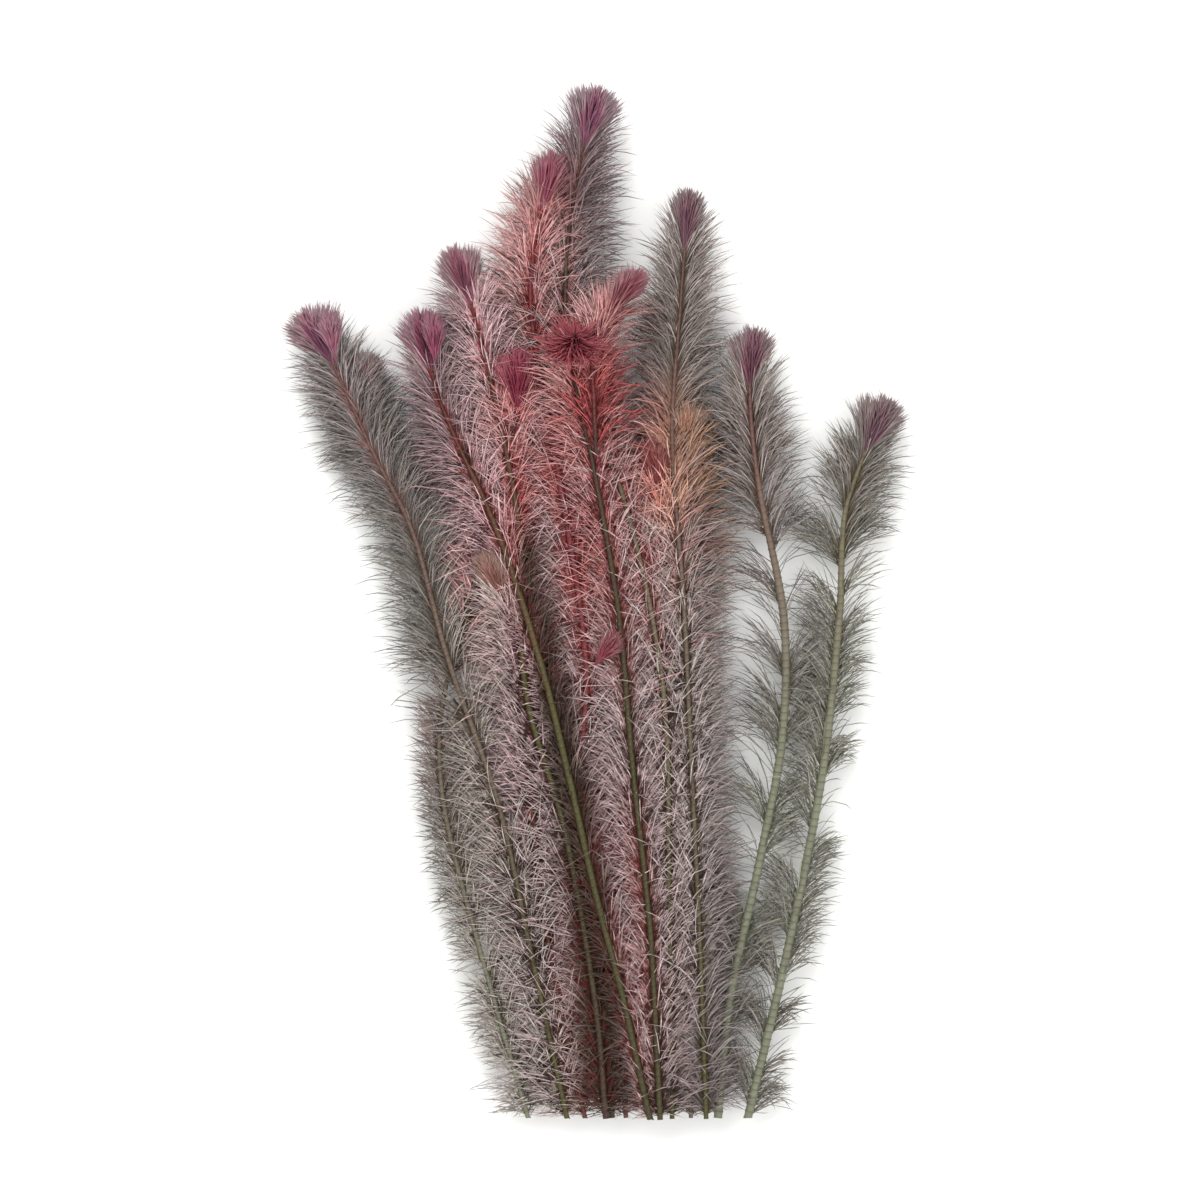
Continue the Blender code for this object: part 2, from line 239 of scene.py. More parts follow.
Shoot = namedtuple("Shoot", "name slot radii crown_size stalk route")
shoots = (
    Shoot("far_left", "mauve_shoot", (0.58, 0.3), 1.0, (moss, tan, salmon), (
        (-6.6, 0, 8.2), (-12.6, 27.6, 8.2), (-20.6, 63.6, 8.6), (-30.6, 92.6, 9.8),
        (-37.6, 117.6, 8.8), (-45.6, 133.6, 8.6), (-54, 152, 8.8), (-59.4, 161, 9.4))),
    Shoot("rear_left", "pink_shoot", (0.52, 0.3), 1.0, (pale_green, tan, rust), (
        (-14.4, 0, 7.2), (-24, 33.6, 7.4), (-31.4, 63.6, 7.6), (-31.4, 83.6, 7.6),
        (-24, 107.6, 7.4), (-17.8, 129.6, 7.6), (-16.4, 153.2, 10.6))),
    Shoot("second_left", "mauve_shoot", (0.7, 0.32), 1.0, (olive, moss, rust), (
        (10, 0, 10.8), (4.4, 25, 11), (-1, 45.6, 11.2), (-6, 67.6, 11.2), (-12, 91.6, 11.2),
        (-20.6, 117.6, 10.6), (-32, 143.6, 9.6), (-36, 161, 9.4))),
    Shoot("third_left", "mauve_shoot", (0.7, 0.32), 1.0, (brown, moss, rust), (
        (1.2, 0, 9), (-1, 23.6, 9), (-7, 57.6, 9.2), (-14.8, 85.6, 9.2), (-16, 115.6, 9.2),
        (-19.6, 137.6, 9.4), (-26, 163.6, 9.4), (-29.4, 173.6, 9.4))),
    Shoot("top_left", "pink_shoot", (0.65, 0.3), 1.0, (brown, red_stem, red_stem), (
        (2.4, 0, 7.4), (0, 31.6, 7.4), (-3.8, 66.6, 8.4), (-2.8, 91.6, 9.6), (-8.4, 129.6, 9.4),
        (-13.8, 162, 9), (-12.6, 177, 9.4), (-9, 192.5, 10.4))),
    Shoot("top", "mauve_shoot", (0.52, 0.3), 1.0, (moss, straw, brown), (
        (14.4, 0, 9.4), (13.8, 43.6, 9.6), (12.6, 85.6, 10.4), (4.8, 123.6, 10.8),
        (-5.6, 149.6, 10.2), (-6.8, 169.6, 9.4), (-4.4, 188.6, 9.2), (-0.2, 205.6, 9.6))),
    Shoot("middle", "pink_shoot", (0.6, 0.32), 1.0, (olive, olive, brown), (
        (12, 0, 11.4), (10, 37.6, 11.4), (6.8, 67.6, 11.6), (3.6, 101.6, 12), (-1.6, 131.6, 12.8),
        (-4.4, 143.6, 14), (-5.4, 152, 17), (-4.6, 157, 23))),
    Shoot("middle_side", "crimson_shoot", (0.36, 0.28), 1.0, (brown, red_stem, red_stem), (
        (-0.8, 133.2, 14.4), (-1.2, 143, 16), (-1.4, 152, 16.8), (1, 159, 17),
        (8.4, 168.4, 16.4))),
    Shoot("rear_red", "crimson_shoot", (0.52, 0.28), 1.0, (rust, red_stem, red_stem), (
        (5.2, 0, 7), (2.6, 33.6, 7.4), (6.6, 69.6, 8.4), (11.2, 100, 8.4), (13, 115, 8.6),
        (11.6, 127, 9.2), (9.2, 135, 10))),
    Shoot("right_of_middle", "mauve_shoot", (0.52, 0.3), 1.0, (moss, tan, salmon), (
        (21.2, 0, 9.4), (20, 33.6, 9.6), (18.4, 67.6, 10), (16.8, 101.6, 10.2),
        (14.4, 135.6, 9.8), (16, 161.6, 9.2), (17.8, 185, 9.2))),
    Shoot("rear_orange", "pink_shoot", (0.46, 0.28), 0.8, (tan, straw, salmon), (
        (18.2, 0, 7.4), (17.6, 43.6, 7.6), (16.6, 83.6, 7.8), (16.6, 119.6, 7.8), (17, 133.6, 8),
        (17.4, 142.6, 8.6))),
    Shoot("right", "sage_shoot", (0.92, 0.42), 1.0, (pale_green, pale_green, salmon), (
        (23.6, 0, 7.4), (26, 23.6, 7.4), (32, 51.6, 7.4), (36.4, 75.6, 7.4), (36.8, 99.6, 7.6),
        (31.6, 127.6, 8), (30, 145, 8.4), (31, 157.5, 9))),
    Shoot("far_right", "sage_shoot", (0.92, 0.42), 1.0, (pale_green, pale_green, straw), (
        (29.6, 0, 7.2), (38, 35.6, 7.2), (44.6, 69.6, 7.2), (48, 101.6, 7.2), (49, 120.6, 7.6),
        (53.6, 134.6, 8), (57.6, 143.4, 8.8))),
    Shoot("short_red", "crimson_shoot", (0.52, 0.28), 0.9, (rust, rust, red_stem), (
        (-3, 0, 7.6), (-9.6, 30.6, 7.6), (-13.8, 63.6, 7.6), (-15.4, 88, 7.4), (-18, 101, 8.6),
        (-23.6, 112.4, 10.8))),
    Shoot("far_left_side", "pink_shoot", (0.32, 0.27), 0.8, (tan, tan, salmon), (
        (-46.6, 137.2, 6.4), (-47.4, 143, 6), (-47, 152.5, 6.4))),
)


def between(low, high, share):
    """The value that lies the given share of the way from low to high."""
    return low + (high - low) * share


class Route:
    """A smooth line through a shoot's points, measured along itself from its foot."""

    steps = 40

    def __init__(self, points):
        knots = np.array(points, dtype=float)
        ahead = np.vstack([knots[1:], 2 * knots[-1] - knots[-2]])
        behind = np.vstack([2 * knots[0] - knots[1], knots[:-1]])
        heading = ahead - behind
        heading /= np.linalg.norm(heading, axis=1)[:, None]
        t = np.linspace(0, 1, self.steps, endpoint=False)[:, None]
        spans = []
        for here, there, out, into in zip(knots, knots[1:], heading, heading[1:]):
            pull = np.linalg.norm(there - here)
            leave = (2 * t**3 - 3 * t**2 + 1) * here + (t**3 - 2 * t**2 + t) * pull * out
            arrive = (3 * t**2 - 2 * t**3) * there + (t**3 - t**2) * pull * into
            spans.append(leave + arrive)
        self.line = (np.vstack(spans + [knots[-1:]]) - box_middle) * mm
        paces = np.linalg.norm(np.diff(self.line, axis=0), axis=1)
        self.so_far = np.concatenate([[0.0], np.cumsum(paces)])
        self.length = self.so_far[-1]

    def read(self, distance):
        return np.stack([np.interp(distance, self.so_far, axis) for axis in self.line.T], -1)

    def heading(self, distance):
        reach = 0.5 * mm
        ahead = self.read(np.asarray(distance) + reach)
        behind = self.read(np.asarray(distance) - reach)
        return (ahead - behind) / np.linalg.norm(ahead - behind, axis=-1, keepdims=True)

    def sides(self, distance):
        """Two directions across the line: level to the left, and upwards."""
        heading = self.heading(distance)
        left = np.cross((0, 0, 1), heading)
        left /= np.linalg.norm(left, axis=-1, keepdims=True)
        return left, np.cross(heading, left)


def crown_foot(shoot, route):
    """How far along its line a shoot's crown begins."""
    return route.length - crown_length * shoot.crown_size * mm


def stalk_radius(shoot, along, top):
    """In millimetres: nearly even over most of the stalk, then thinner up to the crown."""
    foot_radius, crown_radius = shoot.radii
    return between(crown_radius, foot_radius, np.interp(along / top, *taper))


def select_only(piece):
    bpy.ops.object.select_all(action="DESELECT")
    piece.select_set(True)
    bpy.context.view_layer.objects.active = piece


def apply_modifiers(piece):
    select_only(piece)
    for modifier in list(piece.modifiers):
        bpy.ops.object.modifier_apply(modifier=modifier.name)


def read_corners(piece):
    corners = np.empty(3 * len(piece.data.vertices))
    piece.data.vertices.foreach_get("co", corners)
    return corners.reshape(-1, 3)


def add_shade(piece, name, values):
    """A number at each corner of the mesh, for its finish to read."""
    attribute = piece.data.attributes.new(name, "FLOAT", "POINT")
    attribute.data.foreach_set("value", np.asarray(values, dtype=np.float32).ravel())


def extrude_levels(levels, step=1.0):
    """Draws the selected ring up from level to level. Each is a height, in steps, and a width."""
    for (low, was), (high, wide) in zip(levels, levels[1:]):
        rise = (high - low) * step
        bpy.ops.mesh.extrude_region_move(TRANSFORM_OT_translate={"value": (0, 0, rise)})
        bpy.ops.transform.resize(value=(wide / was, wide / was, 1))


def model_length(name, foot, swollen):
    """One upright length of stalk, a millimetre in radius, with its node near the top."""
    bpy.ops.object.select_all(action="DESELECT")
    bpy.ops.mesh.primitive_circle_add(vertices=stalk_sides, radius=mm, location=(0, 0, foot))
    stalk = bpy.context.object
    stalk.name = name
    bpy.ops.object.transform_apply()
    bpy.ops.object.mode_set(mode="EDIT")
    bpy.ops.mesh.select_all(action="SELECT")
    extrude_levels((*length_levels, (knot_level, swollen), (1.0, 1.0)), whorl_step)
    bpy.ops.object.mode_set(mode="OBJECT")
    return stalk


def repeat_length(stalk, count):
    """The same length again and again, each welded to the one below it."""
    repeat = stalk.modifiers.new("lengths", "ARRAY")
    repeat.count = count
    repeat.use_relative_offset = False
    repeat.use_constant_offset = True
    repeat.constant_offset_displace = (0, 0, whorl_step)
    repeat.use_merge_vertices = True
    repeat.merge_threshold = weld_distance
    apply_modifiers(stalk)


def bend_stalk(stalk, route, radii):
    """Bends the upright stalk along its line, as thick at each point as the radii say."""
    curve = bpy.data.curves.new("guide", "CURVE")
    curve.dimensions = "3D"
    spline = curve.splines.new("POLY")
    spline.points.add(len(route.line) - 1)
    spline.points.foreach_set("co", np.hstack([route.line, np.ones((len(route.line), 1))]).ravel())
    spline.points.foreach_set("radius", radii)
    guide = bpy.data.objects.new("guide", curve)
    bpy.context.scene.collection.objects.link(guide)
    bend = stalk.modifiers.new("line", "CURVE")
    bend.object = guide
    bend.deform_axis = "POS_Z"
    apply_modifiers(stalk)
    bpy.data.objects.remove(guide)


def close_stalk(stalk, from_cut):
    """Takes off what is past the cut, closes both ends and turns all faces outwards."""
    select_only(stalk)
    bpy.ops.object.mode_set(mode="EDIT")
    if from_cut:
        bpy.ops.mesh.select_all(action="SELECT")
        bpy.ops.mesh.bisect(plane_co=(0, cut_line, 0), plane_no=(0, -1, 0), use_fill=True,
                            clear_outer=True)
    bpy.ops.mesh.select_all(action="DESELECT")
    bpy.ops.mesh.select_non_manifold()
    bpy.ops.mesh.fill()
    bpy.ops.mesh.select_all(action="SELECT")
    bpy.ops.mesh.normals_make_consistent(inside=False)
    bpy.ops.object.mode_set(mode="OBJECT")
    bpy.ops.object.shade_smooth_by_angle(angle=math.radians(smooth_angle))


def model_stalk(shoot):
    """A stalk from the cut, or from its fork, with shades for the way up it and for its nodes."""
    route = Route(shoot.route)
    top = crown_foot(shoot, route)
    from_cut = shoot.route[0][1] == 0
    foot = -2 * whorl_step if from_cut else 0.0
    stalk = model_length("stalk_" + shoot.name, foot, 1 + node_bump / shoot.radii[0])
    repeat_length(stalk, round((route.length - tip_gap * mm - foot) / whorl_step))
    risen = read_corners(stalk)[:, 2]
    add_shade(stalk, "along", risen / top)
    level = (risen - foot) / whorl_step % 1.0
    add_shade(stalk, "knot", np.exp(-((level - knot_level) / knot_spread) ** 2))
    in_crown = (route.so_far - top) / (route.length - top)
    drawn_in = np.interp(in_crown, (0, 1), (0, shoot.radii[1] - tip_radius))
    bend_stalk(stalk, route, stalk_radius(shoot, route.so_far, top) - drawn_in)
    close_stalk(stalk, from_cut)
    return stalk


def stalk_skin(shoot):
    """Three colours up the stalk, darker patches, dark rings at its nodes and a fine grain."""
    skin = Finish("skin_" + shoot.name, Roughness=plant_roughness, Specular_IOR_Level=plant_specular)
    colour = skin.ramp(skin.attribute("along"), stalk_places, shoot.stalk)
    patches = skin.mix(1.0, colour, paint(*patch_tint), "MULTIPLY")
    colour = skin.mix(skin.noise(patch_scale, patch_detail) * patch_share, colour, patches)
    rings = skin.mix(1.0, colour, paint(*ring_tint), "MULTIPLY")
    colour = skin.mix(skin.attribute("knot") * skin.noise(ring_scale) * ring_share, colour, rings)
    grain = skin.bump(skin.noise(grain_scale), grain_strength, grain_depth)
    return skin.done(Base_Color=colour, Normal=grain)


for shoot in shoots:
    stalk = model_stalk(shoot)
    stalk.data.materials.clear()
    stalk.data.materials.append(stalk_skin(shoot))
    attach(stalk, "root")
    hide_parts("stem_" + shoot.name)


# The leaves: soft needles a third of a millimetre wide, in whorls at the nodes. They arch away
# from their stem, and out of the water they have fallen to both its sides and stuck in tufts.
leaf_length, young_leaf_length = 16.0 * mm, 12.5 * mm
leaf_lengths = (0.62, 1.06)
shortest_leaf = 0.3 * mm
leaf_width = 0.36 * mm
leaf_widths = (0.8, 1.15)
rib_width, heart_width = 0.95, 1.12
leaf_thickness_share = 0.6
leaf_sides = 3
leaf_levels = ((0.0, 0.6), (0.35, 0.8), (0.72, 1.0))
feet_from_middle = 0.7
map_angle, map_margin = 50.0, 0.05

# How many there are, how few are left in places, and the stretches, up from the cut or down from
# the crown, along which they differ.
whorl_leaves = 33
whorl_scatter = 0.35 * mm
young_stretch = 22.0 * mm
low_stretch = 14.0 * mm
short_stretch = (88 * mm, 118 * mm)
thin_stretch = (115 * mm, 135 * mm)
bare_share = 0.08
trunk_thinning = 0.45

# How they stand, with angles in degrees: their lean is from the stem, and their arch is half of
# the turn between foot and tip. Leaves at the sides rise above level or fall below it, and those
# that still stand are shorter.
leaf_lean, lowest_lean, least_lean, low_lean = 46.0, 62.0, 14.0, 12.0
lean_spread, heart_spread = 17.0, 10.0
arch, young_arch, heart_arch = 20.0, 14.0, 11.0
arch_spread = 6.0
highest_side, highest_young_side = 10.0, 24.0
steepest_fall = 35.0
side_spread = 4.0
standing_from, standing_side, standing_share = 0.96, 60.0, 0.6
felt_height, felt_thickness = 8.2 * mm, 3.5 * mm
lying_height = 0.12 * mm
sway = 0.2
droop = 0.05

# Tufts: their lengths along the stem, how far their tips draw together, and how much shorter the
# leaves at a tuft's ends are. No side of a stem has more than most_tufts.
tuft_steps = (3.5 * mm, 7.0 * mm)
most_tufts = 80
tuft_pull, heart_pull = 0.8, 0.5
tuft_fall = 0.34

# Colours of leaves, as the eye reads them, of 255.
felt = (152, 141, 138)
ash = (142, 134, 126)
dusk = (136, 114, 116)
pale = (162, 148, 142)
mauve = (156, 138, 137)
pink = (168, 140, 142)
rose = (166, 126, 124)
crimson = (150, 68, 70)
wine = (98, 42, 50)
umber = (92, 60, 46)
sage = (144, 142, 128)
amber = (178, 132, 104)

# Areas of the bunch are ellipses, in millimetres to the right of the middle and from the cut, with
# half their widths and heights, and a steepness for their edges. In the heart many shoots lie on
# each other, pale and with a net of dark ribs over them, which is redder where red_ribbed is. The
# trunk is where the old dark leaves are, and most leaves of the ribbed trunk have a dark rib.
Spot = namedtuple("Spot", "x y half_width half_height")
Area = namedtuple("Area", "steepness spots")
areas = {
    "heart": Area(4.0, (
        Spot(-3.5, 66, 30.5, 96), Spot(-13, 152, 18, 36), Spot(-20, 114, 13, 36))),
    "trunk": Area(2.5, (
        Spot(-14, 108, 2.5, 15), Spot(-10.5, 92, 3, 17), Spot(-7.5, 75, 3.5, 18),
        Spot(-4.5, 57, 4, 19), Spot(-2, 39, 5, 20), Spot(0, 20, 6, 22), Spot(1, 4, 7, 15))),
    "red": Area(1.4, (
        Spot(4, 149, 8, 9), Spot(9, 140, 6, 12), Spot(10, 129, 6, 10), Spot(-17, 146, 6, 10),
        Spot(-16, 124, 4, 18), Spot(-9, 187, 5, 11), Spot(5, 163, 7, 9), Spot(-9, 132, 4, 14),
        Spot(-4, 110, 5, 20))),
    "red_ribbed": Area(2.5, (
        Spot(-3, 120, 24, 42), Spot(-12.5, 164, 4, 24), Spot(1, 30, 12, 44))),
    "amber": Area(1.6, (Spot(15.5, 133, 7.5, 19),)),
}
ribbed_trunk = Area(1.0, (Spot(-1, 16, 17, 66), Spot(-10, 72, 9, 54), Spot(-6, 46, 12, 60)))
rib_share, heart_ribs, trunk_ribs = 0.03, 0.34, 0.9
rib_growth = ((0.55, 0.8), (0.2, 2.2))

# Blades and their roots take four colours from a shoot's foot to its crown. Then come the length
# of the lower leaves on the left and on the right, as shares of a full one, the share of the
# lower leaves that are still there, the share of tufts that have come off almost bare, and the
# crown's half-width in millimetres.
Foliage = namedtuple("Foliage", "blades roots left_share right_share kept bare head")
foliage = {
    "far_left": Foliage((felt, ash, ash, felt), (tan, tan, tan, rose),
                        1.12, 1.0, 0.9, 0.18, 8.4),
    "rear_left": Foliage((ash, ash, rose, rose), (pale_green, tan, salmon, crimson),
                         0.5, 1.0, 0.85, 0.15, 6.5),
    "second_left": Foliage((mauve, mauve, pink, pink), (olive, umber, rust, crimson),
                           0.45, 1.0, 1.0, 0.0, 7.0),
    "third_left": Foliage((mauve, mauve, mauve, pink), (umber, wine, rust, crimson),
                          1.0, 1.0, 1.0, 0.0, 6.2),
    "top_left": Foliage((mauve, mauve, mauve, rose), (wine, crimson, crimson, crimson),
                        1.0, 1.0, 1.0, 0.0, 5.0),
    "top": Foliage((mauve, felt, felt, dusk), (olive, umber, crimson, rose),
                   1.0, 1.0, 1.0, 0.0, 7.4),
    "middle": Foliage((mauve, mauve, mauve, rose), (umber, rust, umber, wine),
                      1.0, 1.0, 1.0, 0.0, 8.0),
    "middle_side": Foliage((crimson, crimson, rose, rose), (wine, wine, wine, wine),
                           1.0, 1.0, 1.0, 0.0, 4.0),
    "rear_red": Foliage((mauve, mauve, rose, rose), (wine, crimson, crimson, crimson),
                        1.0, 1.0, 1.0, 0.0, 4.5),
    "right_of_middle": Foliage((felt, felt, pale, pale), (tan, tan, tan, tan),
                               1.0, 0.85, 1.0, 0.0, 4.8),
    "rear_orange": Foliage((felt, mauve, mauve, amber), (tan, tan, amber, amber),
                           1.0, 0.8, 1.0, 0.0, 5.0),
    "right": Foliage((ash, sage, felt, pale), (pale_green, pale_green, straw, salmon),
                     1.0, 0.8, 0.75, 0.55, 6.0),
    "far_right": Foliage((ash, sage, sage, ash), (pale_green, pale_green, straw, straw),
                         0.9, 0.6, 0.75, 0.36, 7.2),
    "short_red": Foliage((mauve, mauve, pink, pale), (rust, rust, crimson, salmon),
                         1.0, 1.0, 1.0, 0.0, 4.5),
    "far_left_side": Foliage((ash, ash, ash, pink), (tan, tan, salmon, rose),
                             1.0, 1.0, 1.0, 0.0, 5.5),
}
blade_places = (0.05, 0.4, 0.7, 0.95)

Template = namedtuple("Template", "corners faces map")


def model_leaf():
    """A straight needle of unit length and half-width, drawn to a point, with its own map."""
    bpy.ops.object.select_all(action="DESELECT")
    bpy.ops.mesh.primitive_circle_add(vertices=leaf_sides, radius=leaf_levels[0][1], fill_type="NGON")
    leaf = bpy.context.object
    bpy.ops.object.mode_set(mode="EDIT")
    bpy.ops.mesh.select_all(action="SELECT")
    extrude_levels(leaf_levels)
    bpy.ops.mesh.extrude_region_move(TRANSFORM_OT_translate={"value": (0, 0, 1 - leaf_levels[-1][0])})
    bpy.ops.mesh.merge(type="CENTER")
    bpy.ops.mesh.select_all(action="SELECT")
    bpy.ops.mesh.normals_make_consistent(inside=False)
    bpy.ops.uv.smart_project(angle_limit=math.radians(map_angle), island_margin=map_margin)
    bpy.ops.object.mode_set(mode="OBJECT")
    loops = np.empty(2 * len(leaf.data.loops))
    leaf.data.uv_layers.active.uv.foreach_get("vector", loops)
    template = Template(read_corners(leaf), [list(face.vertices) for face in leaf.data.polygons],
                        loops.reshape(-1, 2))
    bpy.data.objects.remove(leaf)
    return template


leaf_template = model_leaf()
dice = np.random.default_rng(11)


def nearness(places, area):
    """0 outside an area and at its edge, rising inside it to 1."""
    right, up = places[:, 0] / mm + box_middle[0], places[:, 1] / mm + box_middle[1]
    away = [np.hypot((right - spot.x) / spot.half_width, (up - spot.y) / spot.half_height)
            for spot in area.spots]
    return np.clip((1 - np.min(away, axis=0)) * area.steepness, 0, 1)


def bend_leaves(feet, heading, outward, length, root_angle, tip_angle, pull, width):
    """Each leaf is an arc in the plane of its stem's heading and its own outward direction. Its
    tip is pulled along the stem, droops, swings aside and lies on the board, and a leaf that
    would pass the cut is cut off there."""
    count = len(length)
    smallest = 0.01
    level = leaf_template.corners[None, :, 2]
    start = root_angle[:, None]
    turn = (tip_angle - root_angle)[:, None]
    turn = np.where(np.abs(turn) < smallest, smallest, turn)
    angle = start + turn * level
    forward = (np.sin(angle) - np.sin(start)) / turn + pull[:, None] * level**2
    away = (np.cos(start) - np.cos(angle)) / turn
    side = np.cross(outward, heading)
    swing = dice.normal(0, sway, count)[:, None] * level**2
    line = (forward[..., None] * heading[:, None] + away[..., None] * outward[:, None]
            + swing[..., None] * side[:, None])
    line[..., 2] -= droop * level**2
    back = np.maximum(-line[..., 1].min(axis=1), smallest)
    length = np.minimum(length, np.maximum(feet[:, 1] - cut_line, shortest_leaf) / back)
    line = feet[:, None] + line * length[:, None, None]
    line[..., 2] = np.maximum(line[..., 2], lying_height)
    width = (leaf_width / 2 * width * dice.uniform(*leaf_widths, count))[:, None, None]
    face = np.cos(angle)[..., None] * outward[:, None] - np.sin(angle)[..., None] * heading[:, None]
    flat = leaf_template.corners[None, :, 0, None] * side[:, None] * width
    deep = leaf_template.corners[None, :, 1, None] * face * width * leaf_thickness_share
    places = line + flat + deep
    places[..., 1] = np.maximum(places[..., 1], cut_line)
    places[..., 2] = np.maximum(places[..., 2], 0.0)
    return places


def join_leaves(name, places, shades):
    """One mesh of all the leaves. Each has its shades, a chance of its own, and its own cell of
    the map."""
    count, corners = places.shape[:2]
    faces = [[copy * corners + corner for corner in face]
             for copy in range(count) for face in leaf_template.faces]
    mesh = bpy.data.meshes.new(name)
    mesh.from_pydata(places.reshape(-1, 3), [], faces)
    mesh.shade_smooth()
    leaves = bpy.data.objects.new(name, mesh)
    bpy.context.scene.collection.objects.link(leaves)
    for shade, values in shades.items():
        add_shade(leaves, shade, np.repeat(values, corners))
    add_shade(leaves, "reach", np.tile(leaf_template.corners[:, 2], count))
    add_shade(leaves, "chance", np.repeat(dice.random(count), corners))
    rows = math.ceil(math.sqrt(count))
    cells = np.stack([np.arange(count) % rows, np.arange(count) // rows], -1)
    spread = (cells[:, None] + leaf_template.map[None]) / rows
    leaves.data.uv_layers.new(name="OFBake").uv.foreach_set("vector", spread.ravel())
    return leaves


def find_tufts(along, side):
    """How far each leaf's foot is from the middle of its tuft, in metres and as a share, and a
    chance that the whole tuft has in common."""
    offset, share, luck = np.empty(len(along)), np.empty(len(along)), np.empty(len(along))
    for one in (-1.0, 1.0):
        here = side == one
        ends = np.cumsum(dice.uniform(*tuft_steps, most_tufts)) - tuft_steps[1]
        after = np.searchsorted(ends, along[here], side="right")
        low, high = ends[after - 1], ends[after]
        offset[here] = along[here] - (low + high) / 2
        share[here] = np.abs(offset[here]) * 2 / (high - low)
        luck[here] = dice.random(most_tufts)[after]
    return offset, share, luck


def plant_leaves(route, top, look):
    """Which leaves are still there: how far along the stem and round it each grew, the side that
    it fell to, and how far it is from the middle of its tuft, in metres and as a share."""
    whorls = np.arange(knot_level * whorl_step, top, whorl_step)
    whorls = np.concatenate([whorls, whorls[whorls > top - young_stretch] - whorl_step / 2])
    along = np.repeat(whorls, whorl_leaves)
    turns = np.tile(np.arange(whorl_leaves) * 2 * math.pi / whorl_leaves, len(whorls))
    turns = turns + np.repeat(dice.uniform(0, 2 * math.pi, len(whorls)), whorl_leaves)
    side = np.where(np.cos(turns) < 0, -1.0, 1.0)
    offset, off_share, luck = find_tufts(along, side)
    bare = luck < np.interp(along, thin_stretch, (look.bare, 0))
    kept = np.interp(along, thin_stretch, (look.kept, 1)) * np.where(bare, bare_share, 1)
    kept = kept * (1 - trunk_thinning * nearness(route.read(along), areas["trunk"]))
    kept = dice.random(along.size) < kept
    along = along[kept]
    along = np.clip(along + dice.normal(0, whorl_scatter, along.size), 0, top)
    return along, turns[kept], side[kept], offset[kept], off_share[kept]


def settle(turns, young, feet, reach, inside):
    """How far above level each leaf points once it has fallen, how high up it grew, and how far
    it still stands. Those that grew lowest lie lowest, with their tips on the board or, in the
    heart, on the shoots below. A few of those that grew on top still stand."""
    grown = np.arcsin(np.sin(turns)) / math.pi + 0.5
    lowest_tip = between(lying_height, felt_height - felt_thickness, inside)
    lowest = np.degrees(np.arcsin(np.clip((lowest_tip - feet[:, 2]) / reach, -1, 0)))
    highest = np.degrees(np.arcsin(np.clip((felt_height - feet[:, 2]) / reach, -1, 1)))
    highest = np.clip(highest, -steepest_fall, highest_side)
    highest = between(highest, highest_young_side, young)
    rise = between(lowest, highest, np.minimum(grown / standing_from, 1))
    stands = np.clip((grown - standing_from) / (1 - standing_from), 0, 1)
    rise = rise + (standing_side - highest) * stands + dice.normal(0, side_spread, len(turns))
    return np.radians(rise), grown, stands


def model_leaves(shoot):
    """All the leaves of a shoot below its crown, with shades for the areas that they lie in."""
    route, look = Route(shoot.route), foliage[shoot.name]
    top = crown_foot(shoot, route)
    along, turns, side, offset, off_share = plant_leaves(route, top, look)
    young = np.clip(1 - (top - along) / young_stretch, 0, 1)
    low = np.clip(1 - along / low_stretch, 0, 1)
    centre = route.read(along)
    inside = nearness(centre, areas["heart"])

    length = between(leaf_length, young_leaf_length, young)
    young_lean = math.degrees(math.asin(look.head * mm / young_leaf_length))
    lean = between(leaf_lean, young_lean, young)
    reach = length * np.sin(np.radians(lean))
    rise, grown, stands = settle(turns, young, centre, reach, inside)
    left, upward = route.sides(along)
    outward = (np.cos(rise) * side)[:, None] * left + np.sin(rise)[:, None] * upward
    radius = stalk_radius(shoot, along, top) * mm
    feet = centre + outward * (feet_from_middle * radius)[:, None]

    share = np.where(side > 0, look.left_share, look.right_share)
    share = between(share, 1, np.interp(along, short_stretch, (0, 1)))
    length = length * share * (1 - tuft_fall * off_share**2) * dice.uniform(*leaf_lengths, along.size)
    length = length * between(1, standing_share, stands)
    lean = lean + (lowest_lean - leaf_lean) * (1 - grown) * (1 - young) + low_lean * low
    lean = lean + dice.normal(0, 1, along.size) * (lean_spread + heart_spread * inside)
    bend = between(between(arch, heart_arch, inside), young_arch, young)
    bend = bend + dice.normal(0, arch_spread, along.size)
    pull = between(tuft_pull, heart_pull, inside)
    ribs = rib_share + heart_ribs * inside + trunk_ribs * nearness(centre, ribbed_trunk)
    rib = dice.random(along.size) < ribs * (1 - young) * np.interp(grown, *rib_growth)
    width = np.where(rib, rib_width, between(1, heart_width, inside))

    places = bend_leaves(feet, route.heading(along), outward, length,
                         np.radians(np.maximum(lean - bend, least_lean)), np.radians(lean + bend),
                         -pull * offset / length, width)
    leaves = join_leaves("leaves_" + shoot.name, places, {"along": along / top, "rib": rib})
    corners = read_corners(leaves)
    for shade, area in areas.items():
        add_shade(leaves, shade, nearness(corners, area))
    return leaves


# How light leaves are, each time outside the heart and in it: deep down in the painted shade, at the
# least, by how much single leaves differ, and by how much each is mottled. Under the height given
# first, painted shade darkens the leaves outside the heart, the more the lower they lie. In the heart
# a leaf's foot is in painted shade, and on the trunk leaves are darker.
painted_shade_height = 7.0 * mm
painted_shade_lights = (0.36, 1.0)
least_lights = (0.5, 1.42)
leaf_differences = (0.7, 0.35)
mottles, mottle_scale = (0.7, 1.6), 1100.0
foot_light, foot_light_rise = 0.3, 4.5
trunk_darkening = 0.6

# What is painted over the blades, and how strongly at their feet and at their tips. A strength
# under 0 is none.
blush, red_strengths, ribbed_strengths = (164, 80, 78), (0.75, 0.25), (0.54, -0.16)
glow, amber_strengths = (212, 164, 138), (0.7, 0.35)
old_leaf, old_strength = (84, 64, 40), 0.8

